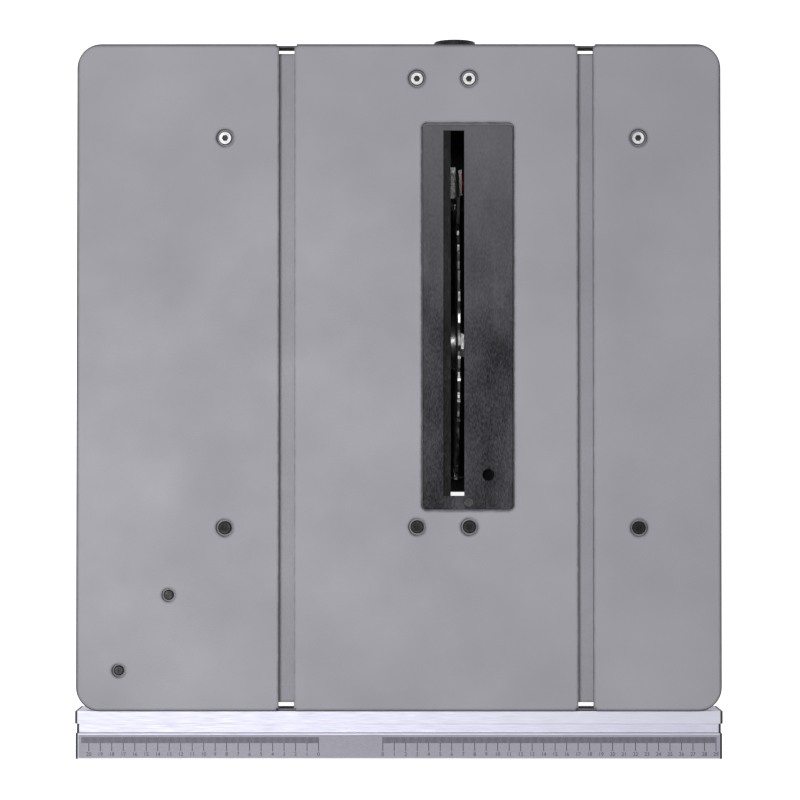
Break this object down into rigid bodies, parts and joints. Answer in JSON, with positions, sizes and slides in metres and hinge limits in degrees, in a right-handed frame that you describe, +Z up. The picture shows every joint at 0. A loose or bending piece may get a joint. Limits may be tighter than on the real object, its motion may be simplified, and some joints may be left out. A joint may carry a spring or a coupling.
{
  "type": "table saw",
  "caption": "Bench table saw with a T-grooved table, slot insert, lift and left tilt by handwheel and bevel carriage, geared motor, front rail and rear dust port.",
  "frame": {"origin": "centre of the saw's outline, on the plane that the feet stand on", "axes": "+X to the operator's right along the front rail, +Y from the operator to the rear, +Z up"},
  "size_m": [0.563, 0.6626, 0.33],
  "materials": {
    "table_coat": "fine-grain satin coating",
    "insert_black": "semi-gloss dark coating",
    "zinc_screw": "zinc plated",
    "black_screw": "black oxide",
    "rail_aluminium": "satin anodised",
    "scale_film": "printed film",
    "black_plastic": "fine texture",
    "housing_plastic": "textured",
    "frame_plastic": "textured",
    "rubber": "matte",
    "cast_aluminium": "as cast",
    "steel": "machined",
    "zinc_sheet": "zinc plated sheet",
    "blade_steel": "ground",
    "knife_steel": "ground",
    "bronze": "machined",
    "grip_red": "moulded",
    "start_green": "moulded",
    "stop_red": "moulded",
    "scale_plate": "satin",
    "copper_core": "laminated",
    "gear_steel": "hardened"
  },
  "bodies": {
    "base": {"table_top": "table_coat", "table_insert": "insert_black", "insert_screw": "black_screw", "table_screws": "zinc_screw", "bracket_screws": "black_screw", "front_rail": "rail_aluminium", "rail_scale": "scale_film", "rail_end_caps": "black_plastic", "rail_bolts": "steel", "base_frame": "frame_plastic", "feet": "rubber", "corner_pillars": "frame_plastic", "front_panel": "housing_plastic", "rear_panel": "housing_plastic", "left_panel": "housing_plastic", "right_panel": "housing_plastic", "carry_handles": "black_plastic", "panel_screws": "black_screw", "table_bearers": "zinc_sheet", "front_trunnion": "cast_aluminium", "rear_trunnion": "cast_aluminium", "bevel_scale": "scale_plate", "switch_bracket": "zinc_sheet", "switch_box": "black_plastic", "switch_face": "black_plastic", "cable_gland": "black_plastic", "dust_port": "black_plastic"},
    "start_button": {"start_button": "start_green"},
    "stop_button": {"stop_button": "stop_red"},
    "tilt_carriage": {"carriage_front": "cast_aluminium", "carriage_rear": "cast_aluminium", "carriage_beams": "cast_aluminium", "guide_rods": "steel", "bevel_pointer": "grip_red"},
    "crank": {"crank_shaft": "steel", "handwheel": "black_plastic"},
    "grip": {"crank_grip": "black_plastic"},
    "screw": {"lead_screw": "steel"},
    "lock_lever": {"bevel_lock_lever": "black_plastic"},
    "lift_unit": {"lift_bracket": "cast_aluminium", "lift_nut": "bronze", "gear_case": "cast_aluminium", "gear_cover": "cast_aluminium", "arbor_bearings": "steel", "motor_housing": "black_plastic", "motor_end_cap": "black_plastic", "motor_stator": "copper_core", "blade_shroud": "black_plastic", "knife_holder": "cast_aluminium", "knife_clamp": "steel"},
    "knife": {"riving_knife": "knife_steel"},
    "knife_lever": {"knife_lever": "grip_red"},
    "arbor": {"arbor_shaft": "steel", "arbor_gear": "gear_steel", "blade_flanges": "steel", "arbor_nut": "steel", "blade": "blade_steel"},
    "rotor": {"motor_rotor": "gear_steel", "motor_fan": "black_plastic"}
  },
  "joints": [
    {"name": "blade_tilt", "type": "hinge", "parent": "base", "child": "tilt_carriage", "pos_m": [0.0526, 0.01075, 0.323], "axis": [0, -1, 0], "range_deg": [0, 45]},
    {"name": "crank_turn", "type": "hinge", "parent": "tilt_carriage", "child": "crank", "pos_m": [0.002, -0.28725, 0.14], "axis": [0, 1, 0], "range_deg": [0, 7740]},
    {"name": "lead_screw_turn", "type": "hinge", "parent": "tilt_carriage", "child": "screw", "pos_m": [0.002, -0.06525, 0.14], "axis": [0, 0, 1], "range_deg": [0, 7740]},
    {"name": "blade_lift", "type": "slide", "parent": "tilt_carriage", "child": "lift_unit", "axis": [0, 0, 1], "range_m": [0, 0.086]},
    {"name": "grip_spin", "type": "hinge", "parent": "crank", "child": "grip", "pos_m": [0.002, -0.33125, 0.184], "axis": [0, 1, 0], "continuous": true},
    {"name": "bevel_lock", "type": "hinge", "parent": "tilt_carriage", "child": "lock_lever", "pos_m": [0.002, -0.26825, 0.14], "axis": [0, 1, 0], "range_deg": [0, 50]},
    {"name": "arbor_spin", "type": "hinge", "parent": "lift_unit", "child": "arbor", "pos_m": [0.0526, 0.04675, 0.196], "axis": [1, 0, 0], "continuous": true},
    {"name": "motor_spin", "type": "hinge", "parent": "lift_unit", "child": "rotor", "pos_m": [0.002, 0.04675, 0.16], "axis": [1, 0, 0], "continuous": true},
    {"name": "knife_raise", "type": "hinge", "parent": "lift_unit", "child": "knife", "pos_m": [0.0526, 0.04675, 0.196], "axis": [1, 0, 0], "range_deg": [0, 28]},
    {"name": "knife_lock", "type": "hinge", "parent": "lift_unit", "child": "knife_lever", "pos_m": [0.0576, 0.19341, 0.20112], "axis": [1, 0, 0], "range_deg": [0, 80]},
    {"name": "start_press", "type": "slide", "parent": "base", "child": "start_button", "axis": [0, 1, 0], "range_m": [0, 0.003], "stiffness_N_per_m": 600, "springref_m": -0.001},
    {"name": "stop_press", "type": "slide", "parent": "base", "child": "stop_button", "axis": [0, 1, 0], "range_m": [0, 0.004], "stiffness_N_per_m": 600, "springref_m": -0.001}
  ],
  "couplings": [
    {"joint": "crank_turn", "follows": "blade_lift", "rad_per_m": 1570.8},
    {"joint": "lead_screw_turn", "follows": "blade_lift", "rad_per_m": 1570.8},
    {"joint": "motor_spin", "follows": "arbor_spin", "ratio": -3}
  ]
}
